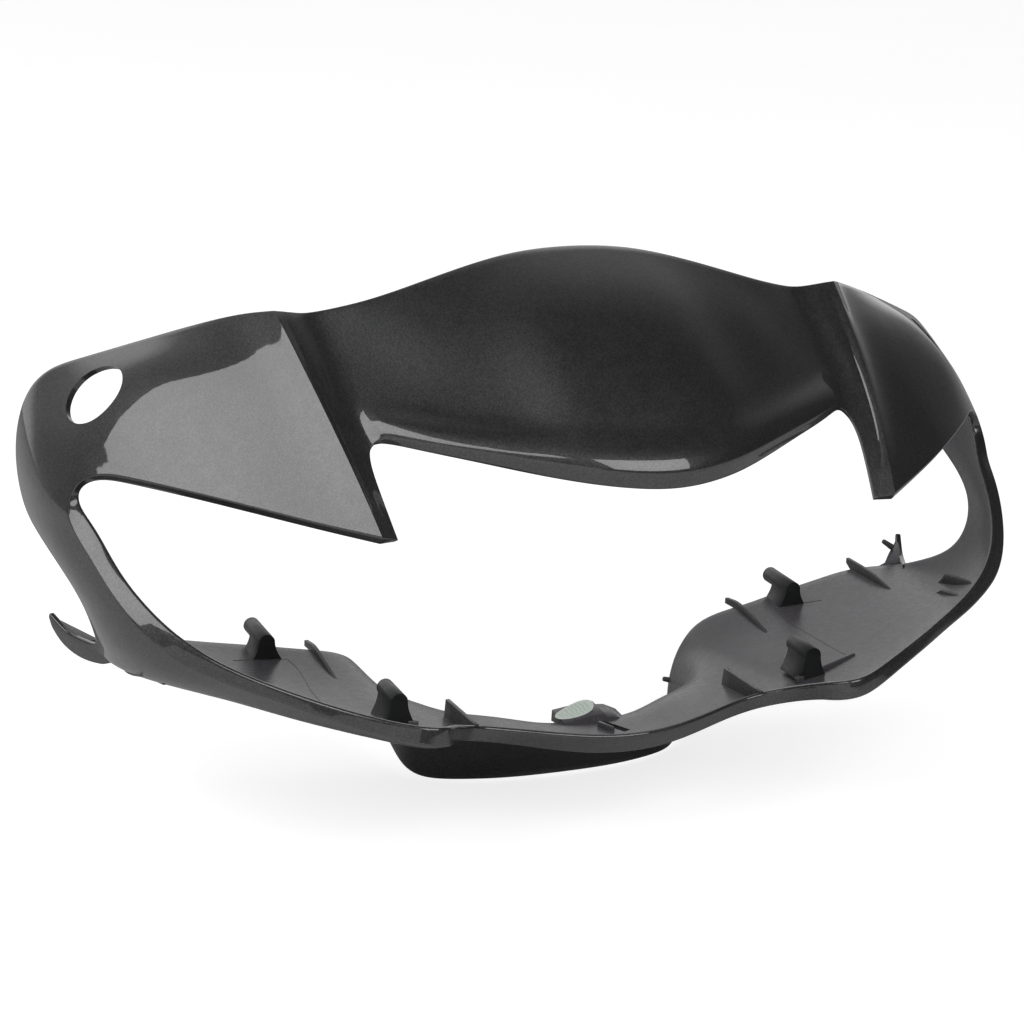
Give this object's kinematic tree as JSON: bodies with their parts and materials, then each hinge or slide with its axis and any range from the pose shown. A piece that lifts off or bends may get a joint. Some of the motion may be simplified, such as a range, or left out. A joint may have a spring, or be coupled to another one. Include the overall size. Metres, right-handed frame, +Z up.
{
  "type": "motorcycle headlight cowl",
  "caption": "Handlebar front cover: painted shell ringed round a wide lamp opening, with visor, wings, arms, ribbed floor and rear neck.",
  "frame": {"origin": "centre of the cowl's bounding box, in its mirror plane", "axes": "+X to the right in the picture, the vehicle's left hand; front of the vehicle -Y, screw bosses open to +Y; +Z up as fitted"},
  "size_m": [0.436, 0.1787, 0.2301],
  "materials": {
    "paint": "gloss dark grey metallic paint over moulded plastic",
    "bare": "satin unpainted dark grey plastic on the inner faces",
    "sticker": "thin translucent white film"
  },
  "bodies": {
    "root": {"cowl": "paint", "inspection_sticker": "sticker"}
  },
  "joints": []
}
